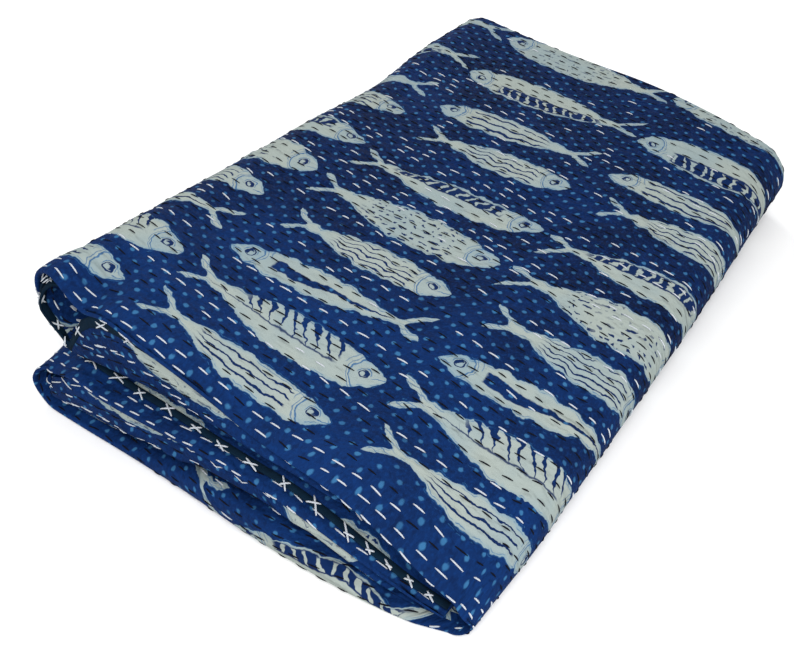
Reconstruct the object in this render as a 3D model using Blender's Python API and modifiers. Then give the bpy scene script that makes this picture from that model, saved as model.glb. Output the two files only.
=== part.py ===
"""A kantha quilt folded in four both ways, lying flat with its thick rolled folds to the left.

The cloth starts as a flat grid and every point is folded to its place. Across the width the four
bands lie as a book: inner lower band of the upper bundle, upper roll, top band, right-hand wrap,
bottom band, lower roll, and inner upper band of the lower bundle. Along the length each band is
folded in half twice, which gives four layers: the outer two share a crease at the front, and the
inner two end there in free hems.
"""

import bmesh
import bpy
import numpy as np

# Driving dimensions, in metres. X runs to the right, Y to the back, Z up.
CLOTH_WIDTH = 1.52
CLOTH_LENGTH = 2.28
THICKNESS = 0.0014
FOLDED_WIDTH = CLOTH_WIDTH / 4 - 0.003
FOLDED_DEPTH = CLOTH_LENGTH / 4 - 0.002
BUNDLE_GAP = 0.0016

# Heights of the pile at the front and at the back of each side.
HEIGHT_LEFT = (0.121, 0.107)
HEIGHT_RIGHT = (0.047, 0.066)
LOWER_BUNDLE = (0.049, 0.049)
CORNER_SQUASH = 0.017
ROLL_DROP = 0.015  # how much lower the lower roll is at its front end
UPPER_ROLL_REACH = 0.034
LOWER_ROLL_REACH = 0.026
ROLL_FRONT_SLACK = 0.003  # how much the rolls draw in at the front
ROLL_TUCK = 0.018  # how much the upper roll's lower side draws in at the front
INNER_SETBACK = 0.004  # how far the two inner bands stay clear of the wrap

# The top layer's front edge is lifted by FRONT_CROWN, with a dip or a swell at each of these rows.
FRONT_CROWN = 0.007
SWELL_COLUMNS = ("x", "spread", "height")
SWELL_TABLE = (
    (0.000, 0.035, -0.007),
    (0.055, 0.020, -0.017),
    (0.210, 0.050, -0.007),
    (0.285, 0.040, 0.005),
)

# The folded grid: stretches across the width, in the order in which the cloth passes through them.
BAND_2, UPPER_ROLL, BAND_1, WRAP, BAND_4, LOWER_ROLL, BAND_3 = range(7)
STEPS = {BAND_2: 7, UPPER_ROLL: 7, BAND_1: 10, WRAP: 7, BAND_4: 8, LOWER_ROLL: 7, BAND_3: 7}

# The rows of one layer: shares of the way from its front end to the first shared row, then the
# rows that all layers share, then its own back end.
FRONT_SHARES = (0.0, 0.25, 0.6)
SHARED_ROWS = (0.045, 0.080, 0.130, 0.220, 0.330, 0.440, 0.525)
CREASE_ANGLES = (45.0, 90.0, 135.0)
OUTER_TURN_ANGLES = (25.0, 65.0, 115.0, 155.0)
EVEN_LAYERS = (0.0, 2 / 7, 4 / 7, 6 / 7)
WRAP_SHARE = 0.46  # how much of the wrap's radius its own four layers fill
OUTER_BULGE = 0.35  # how far the far outer turn stands out, as a share of its height

# How the front ends lie along the fold path. path: stretch number plus the share of it passed.
# layer_2 to layer_4: depth of each layer, from 0 at the outer layer to 1 at the bundle's middle.
# crease, hem_3, hem_4: how far back each front end lies, in millimetres (negative sticks out).
# rise: depth that the innermost hem is turned to, 0 where it ends straight.
FRONT_COLUMNS = ("path", "layer_2", "layer_3", "layer_4", "crease", "hem_3", "hem_4", "rise")
FRONT_TABLE = (
    (0.00, 0.286, 0.571, 0.857, 12.0, 11.0, 10.0, 0.00),
    (0.12, 0.286, 0.571, 0.857, 12.0, 9.0, 7.0, 0.00),
    (0.35, 0.260, 0.520, 0.770, 12.0, 7.0, 3.0, 1.60),
    (0.60, 0.160, 0.320, 0.470, 11.0, 6.0, 1.0, 1.80),
    (0.90, 0.120, 0.240, 0.350, 9.0, 4.0, 0.0, 1.70),
    (1.00, 0.120, 0.240, 0.340, 7.0, 3.0, -1.0, 0.60),
    (1.50, 0.120, 0.230, 0.330, 4.0, 1.0, -3.0, 0.50),
    (2.00, 0.130, 0.260, 0.380, 0.0, 3.0, 2.0, 0.45),
    (2.30, 0.160, 0.360, 0.540, -3.0, 8.0, 11.0, 0.00),
    (2.60, 0.240, 0.500, 0.800, -3.0, 10.0, 13.0, 0.00),
    (2.90, 0.330, 0.600, 0.870, -5.0, 8.0, 11.0, 0.00),
    (3.25, 0.330, 0.600, 0.870, -9.0, 2.0, 6.0, 0.00),
    (3.50, 0.286, 0.571, 0.857, -8.5, -2.0, 2.0, 0.00),
    (4.00, 0.286, 0.571, 0.857, -10.0, -5.0, -1.0, 0.00),
    (4.05, 0.420, 0.680, 0.920, -16.0, -9.0, -6.0, 0.00),
    (4.15, 0.700, 0.850, 1.000, -21.0, -14.0, -10.0, 1.30),
    (4.25, 0.980, 1.080, 1.180, -23.0, -15.0, -12.0, 1.70),
    (4.40, 1.110, 1.200, 1.290, -23.5, -15.0, -12.0, 1.78),
    (4.55, 0.900, 1.020, 1.140, -23.0, -15.0, -12.0, 1.78),
    (4.72, 0.420, 0.540, 0.660, -23.0, -15.0, -12.0, 1.76),
    (4.85, 0.200, 0.320, 0.440, -22.5, -15.0, -12.0, 1.74),
    (5.00, 0.170, 0.290, 0.410, -21.0, -14.0, -12.0, 1.55),
    (5.14, 0.180, 0.300, 0.420, -20.0, -13.5, -12.0, 1.25),
    (5.30, 0.200, 0.330, 0.460, -19.0, -13.0, -11.5, 1.02),
    (5.50, 0.200, 0.340, 0.480, -17.0, -12.0, -11.0, 0.80),
    (6.00, 0.200, 0.350, 0.500, -15.0, -8.0, -6.0, 0.00),
    (6.20, 0.220, 0.370, 0.500, -18.0, -8.0, -5.0, 0.00),
    (6.50, 0.220, 0.380, 0.530, -15.0, -6.0, -3.0, 0.00),
    (6.80, 0.250, 0.450, 0.650, -13.0, -4.0, -1.0, 0.00),
    (7.00, 0.286, 0.571, 0.857, -12.0, -3.0, 0.0, 0.00),
)
FRONT_REACH = 0.055  # how far back the front ends' uneven depths fade out

# The innermost layer's hem, from behind its bend to its end. straight: millimetres behind the
# layer's front end where the hem isn't turned up. turned: the same where it is. share: how much of
# the rise has been passed.
TURN_COLUMNS = ("straight", "turned", "share")
TURN_TABLE = (
    (9.0, 9.0, 0.00),
    (6.5, 3.0, 0.00),
    (4.0, -3.0, 0.03),
    (2.5, -7.0, 0.22),
    (1.2, -8.6, 0.58),
    (0.0, -9.4, 1.00),
)


def smooth(value, low, high):
    """0 below low, 1 above high, and an even curve between them."""
    share = np.clip((value - low) / (high - low), 0.0, 1.0)
    return share * share * (3.0 - 2.0 * share)


def front_to_back(pair, y):
    """A size that changes evenly from the front to the back."""
    return pair[0] + (pair[1] - pair[0]) * np.clip(y / FOLDED_DEPTH, 0.0, 1.0)


def front_value(name, path):
    """A column of the front table, read between its rows."""
    column = FRONT_COLUMNS.index(name)
    knots = [row[0] for row in FRONT_TABLE]
    return np.interp(path, knots, [row[column] for row in FRONT_TABLE])


def right_height(y):
    """Height of the right-hand wrap, squashed at the front corner."""
    squash = CORNER_SQUASH * (1.0 - smooth(y, -0.020, 0.110))
    return front_to_back(HEIGHT_RIGHT, y) - squash


def top_height(x, y):
    """Middle of the top layer: a wedge that falls to the right, with slow waves."""
    left, right = front_to_back(HEIGHT_LEFT, y), right_height(y)
    start = UPPER_ROLL_REACH
    share = np.clip((x - start) / (FOLDED_WIDTH - start - right / 2), 0.0, 1.0)
    height = left + (right - left) * (share + 0.035 * np.sin(2 * np.pi * share))
    lift = FRONT_CROWN
    for centre, spread, swell in SWELL_TABLE:
        lift = lift + swell * np.exp(-(((x - centre) / spread) ** 2))
    lift = lift * (1.0 - smooth(y, 0.0, 0.075)) * smooth(share, 1.0, 0.85)
    droop = 0.0015 * (1.0 - smooth(y, -0.004, 0.014))
    corner = 0.002 * smooth(x, 0.27, 0.34) * (1.0 - smooth(y, -0.004, 0.030))
    inland = smooth(share, 0.0, 0.12) * smooth(share, 1.0, 0.85)
    wave = 0.0014 * np.sin(31.0 * y + 9.0 * x) + 0.0010 * np.sin(17.0 * x - 22.0 * y + 1.0)
    return height - THICKNESS / 2 - droop + lift + (wave - corner) * inland


def interface_height(x, y):
    """Level between the upper and the lower bundle."""
    left, right = front_to_back(LOWER_BUNDLE, y), right_height(y) / 2
    level = left + (right - left) * smooth(x, 0.225, FOLDED_WIDTH - right)
    return level - ROLL_DROP * (1.0 - smooth(x, 0.0, 0.055)) * (1.0 - smooth(y, -0.015, 0.050))


def roll_ends(y):
    """Left-hand reach of the upper and the lower roll, with an uneven edge."""
    upper = -0.002 + 0.0080 * smooth(y, 0.15, 0.40) + 0.0012 * np.sin(37.0 * y)
    lower = -0.010 + 0.0060 * smooth(y, 0.05, 0.30) + 0.0015 * np.sin(17.0 * y + 2.0)
    return upper, lower


def rails(path, y):
    """Outer layer and middle line of the bundle at a place on the fold path, both as x and z."""
    stretch = np.minimum(path.astype(int), BAND_3)
    share = path - stretch
    upper_end, lower_end = roll_ends(y)
    wrap_radius = right_height(y) / 2 - THICKNESS / 2
    wrap_x = FOLDED_WIDTH - THICKNESS / 2 - wrap_radius
    inner_end = wrap_x - INNER_SETBACK
    upper_x = upper_end + UPPER_ROLL_REACH
    lower_x = lower_end + LOWER_ROLL_REACH

    def band(start, end):
        return start + (end - start) * share

    x = np.choose(stretch, (
        band(inner_end, upper_x), upper_x, band(upper_x, wrap_x), wrap_x,
        band(wrap_x, lower_x), lower_x, band(lower_x, inner_end)))

    # The bundle's low and high run here; the wrap's go round both bundles.
    half_gap = (BUNDLE_GAP + THICKNESS) / 2
    top, bottom = top_height(x, y), np.full_like(x, THICKNESS / 2)
    above = interface_height(x, y) + half_gap
    below = interface_height(x, y) - half_gap
    wrapped = stretch == WRAP
    low = np.where(stretch < WRAP, above, bottom)
    high = np.where(stretch <= WRAP, top, below)
    centre, radius = (high + low) / 2, (high - low) / 2

    # Rolls turn over the left side, the wrap turns down over the right side.
    rolled = (stretch == UPPER_ROLL) | (stretch == LOWER_ROLL)
    turned = rolled | wrapped
    angle = np.where(wrapped, 0.5, -0.5) * np.pi - np.pi * share
    front = 1.0 - smooth(y, -0.01, 0.04)
    slack = THICKNESS / 2 + ROLL_FRONT_SLACK * front
    slack = slack + ROLL_TUCK * front * (stretch == UPPER_ROLL) * np.maximum(-np.sin(angle), 0.0)
    reach = np.choose(np.clip(stretch - UPPER_ROLL, 0, 4), (
        UPPER_ROLL_REACH - slack, 0.0, wrap_radius, 0.0, LOWER_ROLL_REACH - slack))
    on_top = (stretch == BAND_1) | (stretch == BAND_3)
    outer_x = np.where(turned, x + reach * np.cos(angle), x)
    outer_z = np.where(turned, centre + radius * np.sin(angle), np.where(on_top, high, low))

    # The roll's middle line is short and flat, and the wrap's goes round the two inner bands.
    wrap_depth = radius * WRAP_SHARE
    inner_radius = np.where(wrapped, radius - wrap_depth, 0.0)
    inner_reach = np.where(wrapped, reach - wrap_depth, np.maximum(reach - radius, 0.004))
    middle_x = np.where(turned, x + inner_reach * np.cos(angle), x)
    middle_z = np.where(turned, centre + inner_radius * np.sin(angle), centre)
    return (outer_x, outer_z), (middle_x, middle_z)


def layer_depth(layer, path, distance):
    """Depth of a layer in its bundle: evenly spaced, but for the loose front ends."""
    if layer == 0:
        return np.zeros_like(path)
    loose = 1.0 - smooth(distance, 0.0, FRONT_REACH)
    front = front_value(f"layer_{layer + 1}", path)
    return EVEN_LAYERS[layer] + (front - EVEN_LAYERS[layer]) * loose


def place(path, y, depth):
    """The point at this depth between the bundle's outer layer and its middle line."""
    outer, middle = rails(path, y)
    x = outer[0] + (middle[0] - outer[0]) * depth
    z = outer[1] + (middle[1] - outer[1]) * depth
    return np.stack([x, y, z], axis=-1)


def front_end(layer, path):
    """Where a layer's front end lies."""
    name = ("crease", "crease", "hem_3", "hem_4")[layer]
    uneven = 0.0012 * np.sin(5.3 * path + 1.3 * layer) + 0.0008 * np.sin(11.0 * path)
    return front_value(name, path) / 1000 + uneven


def back_end(layer, path):
    """Where a layer's rows end at the back, before its turn."""
    outer, middle = rails(path, np.full_like(path, FOLDED_DEPTH))
    span = np.hypot(middle[0] - outer[0], middle[1] - outer[1])
    edge = FOLDED_DEPTH + 0.0025 * np.sin(2.1 * path + 0.5) - 0.018 * smooth(outer[0], 0.20, 0.37)
    if layer in (0, 3):
        return edge - OUTER_BULGE * span * EVEN_LAYERS[3]
    return edge - 0.5 * span * (EVEN_LAYERS[2] - EVEN_LAYERS[1]) - 0.0035


def layer_rows(layer, path):
    """One layer from front to back."""
    front, back = front_end(layer, path), back_end(layer, path)
    depths_back = [front + (SHARED_ROWS[0] - front) * share for share in FRONT_SHARES]
    depths_back += [np.full_like(path, row) for row in SHARED_ROWS] + [back]
    return [place(path, y, layer_depth(layer, path, y - front)) for y in depths_back]


def turn_rows(first, last, path, at_front, angles):
    """The half turn that joins two layers at the front or at the back."""
    if at_front:
        y = front_end(first, path)
        depths = layer_depth(first, path, 0.0 * y), layer_depth(last, path, 0.0 * y)
    else:
        y = back_end(first, path)
        depths = layer_depth(first, path, y), layer_depth(last, path, y)
    outer, middle = rails(path, y)
    span = np.hypot(middle[0] - outer[0], middle[1] - outer[1])
    width = np.abs(depths[1] - depths[0]) * span
    if last == 3:
        bulge = OUTER_BULGE * width
    else:
        bulge = 0.0015 + 0.5 * width / (1.0 + width / 0.010)
    centre, half = (depths[0] + depths[1]) / 2, (depths[1] - depths[0]) / 2
    rows = []
    for angle in np.radians(angles):
        point = place(path, y, centre - half * np.cos(angle))
        point[..., 1] += (-1.0 if at_front else 1.0) * bulge * np.sin(angle)
        rows.append(point)
    return rows


def hem_rows(path):
    """The innermost layer's front end, turned up against the bundle's front face."""
    layer = 3
    end = front_end(layer, path)
    depth = layer_depth(layer, path, 0.0 * end)
    rise = front_value("rise", path)
    turned = smooth(rise, 0.0, 1.2)
    rows = []
    for row in TURN_TABLE:
        step = dict(zip(TURN_COLUMNS, row))
        y = end + (step["straight"] + (step["turned"] - step["straight"]) * turned) / 1000
        lifted = depth + (np.maximum(rise, depth) - depth) * step["share"] * turned
        rows.append(place(path, y, lifted))
    return rows


def fold_path():
    """Stations along the fold path, from one free side of the cloth to the other."""
    stations = [0.0]
    for stretch, steps in STEPS.items():
        stations += [stretch + (step + 1) / steps for step in range(steps)]
    return np.array(stations)


def folded_rows(path):
    """Every row of the folded cloth, from the third layer's hem to the fourth layer's hem."""
    rows = layer_rows(2, path)
    rows += turn_rows(2, 1, path, False, CREASE_ANGLES)
    rows += layer_rows(1, path)[::-1]
    rows += turn_rows(1, 0, path, True, CREASE_ANGLES)
    rows += layer_rows(0, path)
    rows += turn_rows(0, 3, path, False, OUTER_TURN_ANGLES)
    rows += layer_rows(3, path)[:1:-1]
    rows += hem_rows(path)
    return np.array(rows)


def cotton():
    """Indigo-dyed cotton."""
    material = bpy.data.materials.new("indigo cotton")
    material.use_nodes = True
    shader = material.node_tree.nodes["Principled BSDF"]
    shader.inputs["Base Color"].default_value = (0.012, 0.035, 0.150, 1.0)
    shader.inputs["Roughness"].default_value = 0.85
    shader.inputs["Metallic"].default_value = 0.0
    return material


def make_quilt(collection):
    """The flat cloth as a grid, folded point by point, then given its thickness."""
    rows = folded_rows(fold_path())
    across, along = rows.shape[1], rows.shape[0]
    mesh = bpy.data.meshes.new("quilt")
    grid = bmesh.new()
    bmesh.ops.create_grid(grid, x_segments=across - 1, y_segments=along - 1, size=0.5)
    for vertex in grid.verts:
        column = round((vertex.co.x + 0.5) * (across - 1))
        row = round((vertex.co.y + 0.5) * (along - 1))
        vertex.co = rows[row, column]
    grid.to_mesh(mesh)
    grid.free()
    mesh.shade_smooth()
    mesh.materials.append(cotton())
    quilt = bpy.data.objects.new("quilt", mesh)
    collection.objects.link(quilt)
    shell = quilt.modifiers.new("cloth thickness", "SOLIDIFY")
    shell.thickness = THICKNESS
    shell.offset = 0.0
    return quilt


def centre_on_origin(quilt):
    """Moves the quilt so that the origin is under the middle of its box."""
    bpy.context.view_layer.update()
    evaluated = quilt.evaluated_get(bpy.context.evaluated_depsgraph_get())
    corners = np.array([vertex.co[:] for vertex in evaluated.data.vertices])
    low, high = corners.min(axis=0), corners.max(axis=0)
    quilt.location = (-(low[0] + high[0]) / 2, -(low[1] + high[1]) / 2, -low[2])


def main():
    for thing in list(bpy.data.objects):
        bpy.data.objects.remove(thing, do_unlink=True)
    collection = bpy.data.collections.new("kantha quilt")
    bpy.context.scene.collection.children.link(collection)
    centre_on_origin(make_quilt(collection))


main()
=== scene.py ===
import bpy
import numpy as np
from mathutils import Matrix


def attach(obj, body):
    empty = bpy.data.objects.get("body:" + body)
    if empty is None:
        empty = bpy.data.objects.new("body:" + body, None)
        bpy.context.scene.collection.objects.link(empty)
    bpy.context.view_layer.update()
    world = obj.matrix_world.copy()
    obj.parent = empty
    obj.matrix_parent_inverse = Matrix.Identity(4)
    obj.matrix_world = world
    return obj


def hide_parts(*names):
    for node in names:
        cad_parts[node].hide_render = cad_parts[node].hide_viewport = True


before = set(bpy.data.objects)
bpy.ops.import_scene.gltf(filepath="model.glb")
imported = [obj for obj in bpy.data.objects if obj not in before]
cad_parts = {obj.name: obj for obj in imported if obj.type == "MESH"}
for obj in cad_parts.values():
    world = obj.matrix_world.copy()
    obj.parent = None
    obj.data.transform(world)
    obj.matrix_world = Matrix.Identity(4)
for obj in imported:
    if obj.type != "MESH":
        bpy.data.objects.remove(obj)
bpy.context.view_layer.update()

# The looks of the folded kantha quilt: the cloth as one folded sheet with its printed pattern, the
# running stitches, the hem bands with their cross stitches, and the light, floor and camera.


def by_name(names, table):
    """A table's columns by their names."""
    return dict(zip(names, np.array(table, float).T))


# ---------------------------------------------------------------------------------------------
# Sizes of the folded cloth, in metres, as in the CAD model. X right, Y back, Z up.
CLOTH_WIDTH = 1.52
CLOTH_LENGTH = 2.28
THICKNESS = 0.0014
FOLDED_WIDTH = CLOTH_WIDTH / 4 - 0.003
FOLDED_DEPTH = CLOTH_LENGTH / 4 - 0.002
BUNDLE_GAP = 0.0016
ORIGIN = np.array([-0.183585, -0.270003, 0.0])  # the folds' own origin, seen from the part's

# Pairs: at the front and at the back.
HEIGHT_LEFT = (0.121, 0.107)
HEIGHT_RIGHT = (0.047, 0.066)
LOWER_BUNDLE = (0.049, 0.049)
CORNER_SQUASH = 0.017
ROLL_DROP = 0.015
UPPER_ROLL_REACH = 0.034
LOWER_ROLL_REACH = 0.026
ROLL_FRONT_SLACK = 0.003
ROLL_TUCK = 0.018
INNER_SETBACK = 0.004
FRONT_CROWN = 0.007
SWELL_TABLE = (  # x, spread, height
    (0.000, 0.035, -0.007),
    (0.055, 0.020, -0.017),
    (0.210, 0.050, -0.007),
    (0.285, 0.040, 0.005),
)

# The folded grid: quads across each stretch of the width, and along each layer and turn.
BAND_2, UPPER_ROLL, BAND_1, WRAP, BAND_4, LOWER_ROLL, BAND_3 = range(7)
STEPS = {BAND_2: 30, UPPER_ROLL: 26, BAND_1: 84, WRAP: 28, BAND_4: 34, LOWER_ROLL: 24, BAND_3: 44}
FRONT_ROWS = 12
INLAND_ROWS = {"outer": 110, "inner": 30}
FIRST_SHARED, LAST_SHARED = 0.045, 0.525
TURN_ROWS = 9
HEM_ROWS = 26
EVEN_LAYERS = (0.0, 2 / 7, 4 / 7, 6 / 7)
WRAP_SHARE = 0.46
OUTER_BULGE = 0.35
FRONT_REACH = 0.055

# Where the upper bundle's third hem lies out on the lower bundle, in front of the others. path: as
# in the front table. reach: millimetres in front of the front table's place. flat: 1 where it
# lies right on the lower bundle. dip: how far the turned-up hem above it sinks towards it.
SHELF = by_name(("path", "reach", "flat", "dip"), (
    (0.00, 20.0, 1.0, 0.0),
    (0.12, 19.0, 1.0, 0.0),
    (0.35, 16.0, 1.0, 0.1),
    (0.60, 14.0, 1.0, 0.3),
    (0.80, 11.5, 1.0, 0.6),
    (0.92, 8.0, 1.0, 0.7),
    (1.05, 2.0, 0.3, 0.3),
    (1.20, 0.0, 0.0, 0.0),
    (7.00, 0.0, 0.0, 0.0),
))

# The front face along the fold path, whose whole numbers part the stretches above. layer: a layer's
# depth in its bundle, from the outer layer at 0 to the middle line at 1. crease and hem: where they
# end, in millimetres behind the front line. rise: how far up the bundle the fourth hem is turned.
FRONT = by_name(("path", "layer_2", "layer_3", "layer_4", "crease", "hem_3", "hem_4", "rise"), (
    (0.00, 0.286, 0.571, 0.857, 12.0, 11.0, 10.0, 0.00),
    (0.12, 0.286, 0.571, 0.857, 12.0, 9.0, 7.0, 0.00),
    (0.35, 0.260, 0.520, 0.770, 12.0, 7.0, 3.0, 1.60),
    (0.60, 0.160, 0.320, 0.470, 11.0, 6.0, 1.0, 1.80),
    (0.90, 0.120, 0.240, 0.350, 9.0, 4.0, 0.0, 1.70),
    (1.00, 0.120, 0.240, 0.340, 7.0, 3.0, -1.0, 0.60),
    (1.50, 0.120, 0.230, 0.330, 4.0, 1.0, -3.0, 0.50),
    (2.00, 0.130, 0.260, 0.380, 0.0, 3.0, 2.0, 0.45),
    (2.30, 0.160, 0.360, 0.540, -3.0, 8.0, 11.0, 0.00),
    (2.60, 0.240, 0.500, 0.800, -3.0, 10.0, 13.0, 0.00),
    (2.90, 0.330, 0.600, 0.870, -5.0, 8.0, 11.0, 0.00),
    (3.25, 0.330, 0.600, 0.870, -9.0, 2.0, 6.0, 0.00),
    (3.50, 0.286, 0.571, 0.857, -8.5, -2.0, 2.0, 0.00),
    (4.00, 0.286, 0.571, 0.857, -10.0, -5.0, -1.0, 0.00),
    (4.05, 0.420, 0.680, 0.920, -16.0, -9.0, -6.0, 0.00),
    (4.15, 0.700, 0.850, 1.000, -21.0, -14.0, -10.0, 1.30),
    (4.25, 0.980, 1.080, 1.180, -23.0, -15.0, -12.0, 1.70),
    (4.40, 1.110, 1.200, 1.290, -23.5, -15.0, -12.0, 1.78),
    (4.55, 0.900, 1.020, 1.140, -23.0, -15.0, -12.0, 1.78),
    (4.72, 0.420, 0.540, 0.660, -23.0, -15.0, -12.0, 1.76),
    (4.85, 0.200, 0.320, 0.440, -22.5, -15.0, -12.0, 1.74),
    (5.00, 0.170, 0.290, 0.410, -21.0, -14.0, -12.0, 1.55),
    (5.14, 0.180, 0.300, 0.420, -20.0, -13.5, -12.0, 1.25),
    (5.30, 0.200, 0.330, 0.460, -19.0, -13.0, -11.5, 1.02),
    (5.50, 0.200, 0.340, 0.480, -17.0, -12.0, -11.0, 0.80),
    (6.00, 0.200, 0.350, 0.500, -15.0, -8.0, -6.0, 0.00),
    (6.20, 0.220, 0.370, 0.500, -18.0, -8.0, -5.0, 0.00),
    (6.50, 0.220, 0.380, 0.530, -15.0, -6.0, -3.0, 0.00),
    (6.80, 0.250, 0.450, 0.650, -13.0, -4.0, -1.0, 0.00),
    (7.00, 0.286, 0.571, 0.857, -12.0, -3.0, 0.0, 0.00),
))
# The turned-up hem from the cloth to its edge: millimetres behind its end when straight and when
# turned, the share of its rise, and the millimetres by which it leans back.
TURN_TABLE = (
    (9.0, 9.0, 0.00, 0.0),
    (6.5, 3.0, 0.00, 0.0),
    (4.0, -3.0, 0.03, 0.0),
    (2.5, -7.0, 0.22, 0.4),
    (1.2, -8.6, 0.58, 2.0),
    (0.0, -9.4, 1.00, 6.5),
)
# The turned-up hems reach a little higher than the solid's, but for the upper one's right part.
RISE_MORE, RISE_LESS = 1.075, 0.13
# Where the cloth stands out or up more than the solid, or less, in metres.
RIGHT_FULLER = 0.0060
BACK_HIGHER = 0.0055
CORNER_HIGHER = 0.0060
ROLL_SUNK = 0.0045


# ---------------------------------------------------------------------------------------------
# Folding, as in the CAD model, on a finer grid.
def smooth(value, low, high):
    """0 below low, 1 above high, and an even curve between them."""
    share = np.clip((value - low) / (high - low), 0.0, 1.0)
    return share * share * (3.0 - 2.0 * share)


def fall(value, low, high):
    """1 below low, 0 above high."""
    return 1.0 - smooth(value, low, high)


def between(value, first, last, soft):
    """1 from first + soft to last, 0 before first and after last + soft."""
    return smooth(value, first, first + soft) * fall(value, last, last + soft)


def curve(knots, values, at):
    """A curve through a table's rows that never swings past them."""
    knots, values = np.asarray(knots, float), np.asarray(values, float)
    step, rise = np.diff(knots), np.diff(values)
    slope = rise / step
    tangent = np.zeros_like(values)
    both = slope[:-1] * slope[1:]
    total = slope[:-1] + slope[1:]
    tangent[1:-1] = np.where(both > 0, 2 * both / np.where(both > 0, total, 1.0), 0.0)
    tangent[0], tangent[-1] = slope[0], slope[-1]
    i = np.clip(np.searchsorted(knots, at, side="right") - 1, 0, len(step) - 1)
    t = np.clip((at - knots[i]) / step[i], 0.0, 1.0)
    return (values[i] + rise[i] * t * t * (3 - 2 * t)
            + step[i] * (t * (1 - t) ** 2 * tangent[i] - t * t * (1 - t) * tangent[i + 1]))


def front_to_back(pair, y):
    """A size that changes evenly from the front to the back."""
    return pair[0] + (pair[1] - pair[0]) * np.clip(y / FOLDED_DEPTH, 0.0, 1.0)


def looked_up(name, path):
    """A column of the front or the shelf table, read between its rows."""
    table = FRONT if name in FRONT else SHELF
    return curve(table["path"], table[name], path)


def right_height(y):
    """Height of the right-hand wrap, squashed at the front corner."""
    squash = CORNER_SQUASH * fall(y, -0.020, 0.110)
    return front_to_back(HEIGHT_RIGHT, y) - squash


def top_height(x, y):
    """Middle of the top layer: a wedge that falls to the right, with slow waves."""
    left, right = front_to_back(HEIGHT_LEFT, y), right_height(y)
    start = UPPER_ROLL_REACH
    share = np.clip((x - start) / (FOLDED_WIDTH - start - right / 2), 0.0, 1.0)
    height = left + (right - left) * (share + 0.035 * np.sin(2 * np.pi * share))
    lift = FRONT_CROWN
    for centre, spread, swell in SWELL_TABLE:
        lift = lift + swell * np.exp(-(((x - centre) / spread) ** 2))
    lift = lift * fall(y, 0.0, 0.075) * smooth(share, 1.0, 0.85)
    droop = 0.0015 * fall(y, -0.004, 0.014)
    corner = 0.002 * smooth(x, 0.27, 0.34) * fall(y, -0.004, 0.030)
    inland = smooth(share, 0.0, 0.12) * smooth(share, 1.0, 0.85)
    wave = 0.0014 * np.sin(31.0 * y + 9.0 * x) + 0.0010 * np.sin(17.0 * x - 22.0 * y + 1.0)
    return height - THICKNESS / 2 - droop + lift + (wave - corner) * inland


def interface_height(x, y):
    """Level between the upper and the lower bundle."""
    left, right = front_to_back(LOWER_BUNDLE, y), right_height(y) / 2
    level = left + (right - left) * smooth(x, 0.225, FOLDED_WIDTH - right)
    return level - ROLL_DROP * fall(x, 0.0, 0.055) * fall(y, -0.015, 0.050)


def roll_ends(y):
    """Left-hand reach of the upper and the lower roll, with an uneven edge."""
    upper = -0.002 + 0.0080 * smooth(y, 0.15, 0.40) + 0.0012 * np.sin(37.0 * y)
    lower = -0.010 + 0.0060 * smooth(y, 0.05, 0.30) + 0.0015 * np.sin(17.0 * y + 2.0)
    return upper, lower


def rails(path, y):
    """Outer layer and middle line of the bundle at a place on the fold path, both as x and z."""
    stretch = np.minimum(path.astype(int), BAND_3)
    share = path - stretch
    upper_end, lower_end = roll_ends(y)
    wrap_radius = right_height(y) / 2 - THICKNESS / 2
    wrap_x = FOLDED_WIDTH - THICKNESS / 2 - wrap_radius
    inner_end = wrap_x - INNER_SETBACK
    upper_x = upper_end + UPPER_ROLL_REACH
    lower_x = lower_end + LOWER_ROLL_REACH

    def band(start, end):
        return start + (end - start) * share

    x = np.choose(stretch, (
        band(inner_end, upper_x), upper_x, band(upper_x, wrap_x), wrap_x,
        band(wrap_x, lower_x), lower_x, band(lower_x, inner_end)))

    half_gap = (BUNDLE_GAP + THICKNESS) / 2
    top, bottom = top_height(x, y), np.full_like(x, THICKNESS / 2)
    above = interface_height(x, y) + half_gap
    below = interface_height(x, y) - half_gap
    wrapped = stretch == WRAP
    low = np.where(stretch < WRAP, above, bottom)
    high = np.where(stretch <= WRAP, top, below)
    centre, radius = (high + low) / 2, (high - low) / 2

    rolled = (stretch == UPPER_ROLL) | (stretch == LOWER_ROLL)
    turned = rolled | wrapped
    angle = np.where(wrapped, 0.5, -0.5) * np.pi - np.pi * share
    front = fall(y, -0.01, 0.04)
    slack = THICKNESS / 2 + ROLL_FRONT_SLACK * front
    slack = slack + ROLL_TUCK * front * (stretch == UPPER_ROLL) * np.maximum(-np.sin(angle), 0.0)
    reach = np.choose(np.clip(stretch - UPPER_ROLL, 0, 4), (
        UPPER_ROLL_REACH - slack, 0.0, wrap_radius, 0.0, LOWER_ROLL_REACH - slack))
    on_top = (stretch == BAND_1) | (stretch == BAND_3)
    outer_x = np.where(turned, x + reach * np.cos(angle), x)
    outer_z = np.where(turned, centre + radius * np.sin(angle), np.where(on_top, high, low))

    wrap_depth = radius * WRAP_SHARE
    inner_radius = np.where(wrapped, radius - wrap_depth, 0.0)
    inner_reach = np.where(wrapped, reach - wrap_depth, np.maximum(reach - radius, 0.004))
    middle_x = np.where(turned, x + inner_reach * np.cos(angle), x)
    middle_z = np.where(turned, centre + inner_radius * np.sin(angle), centre)
    return (outer_x, outer_z), (middle_x, middle_z)


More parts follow.
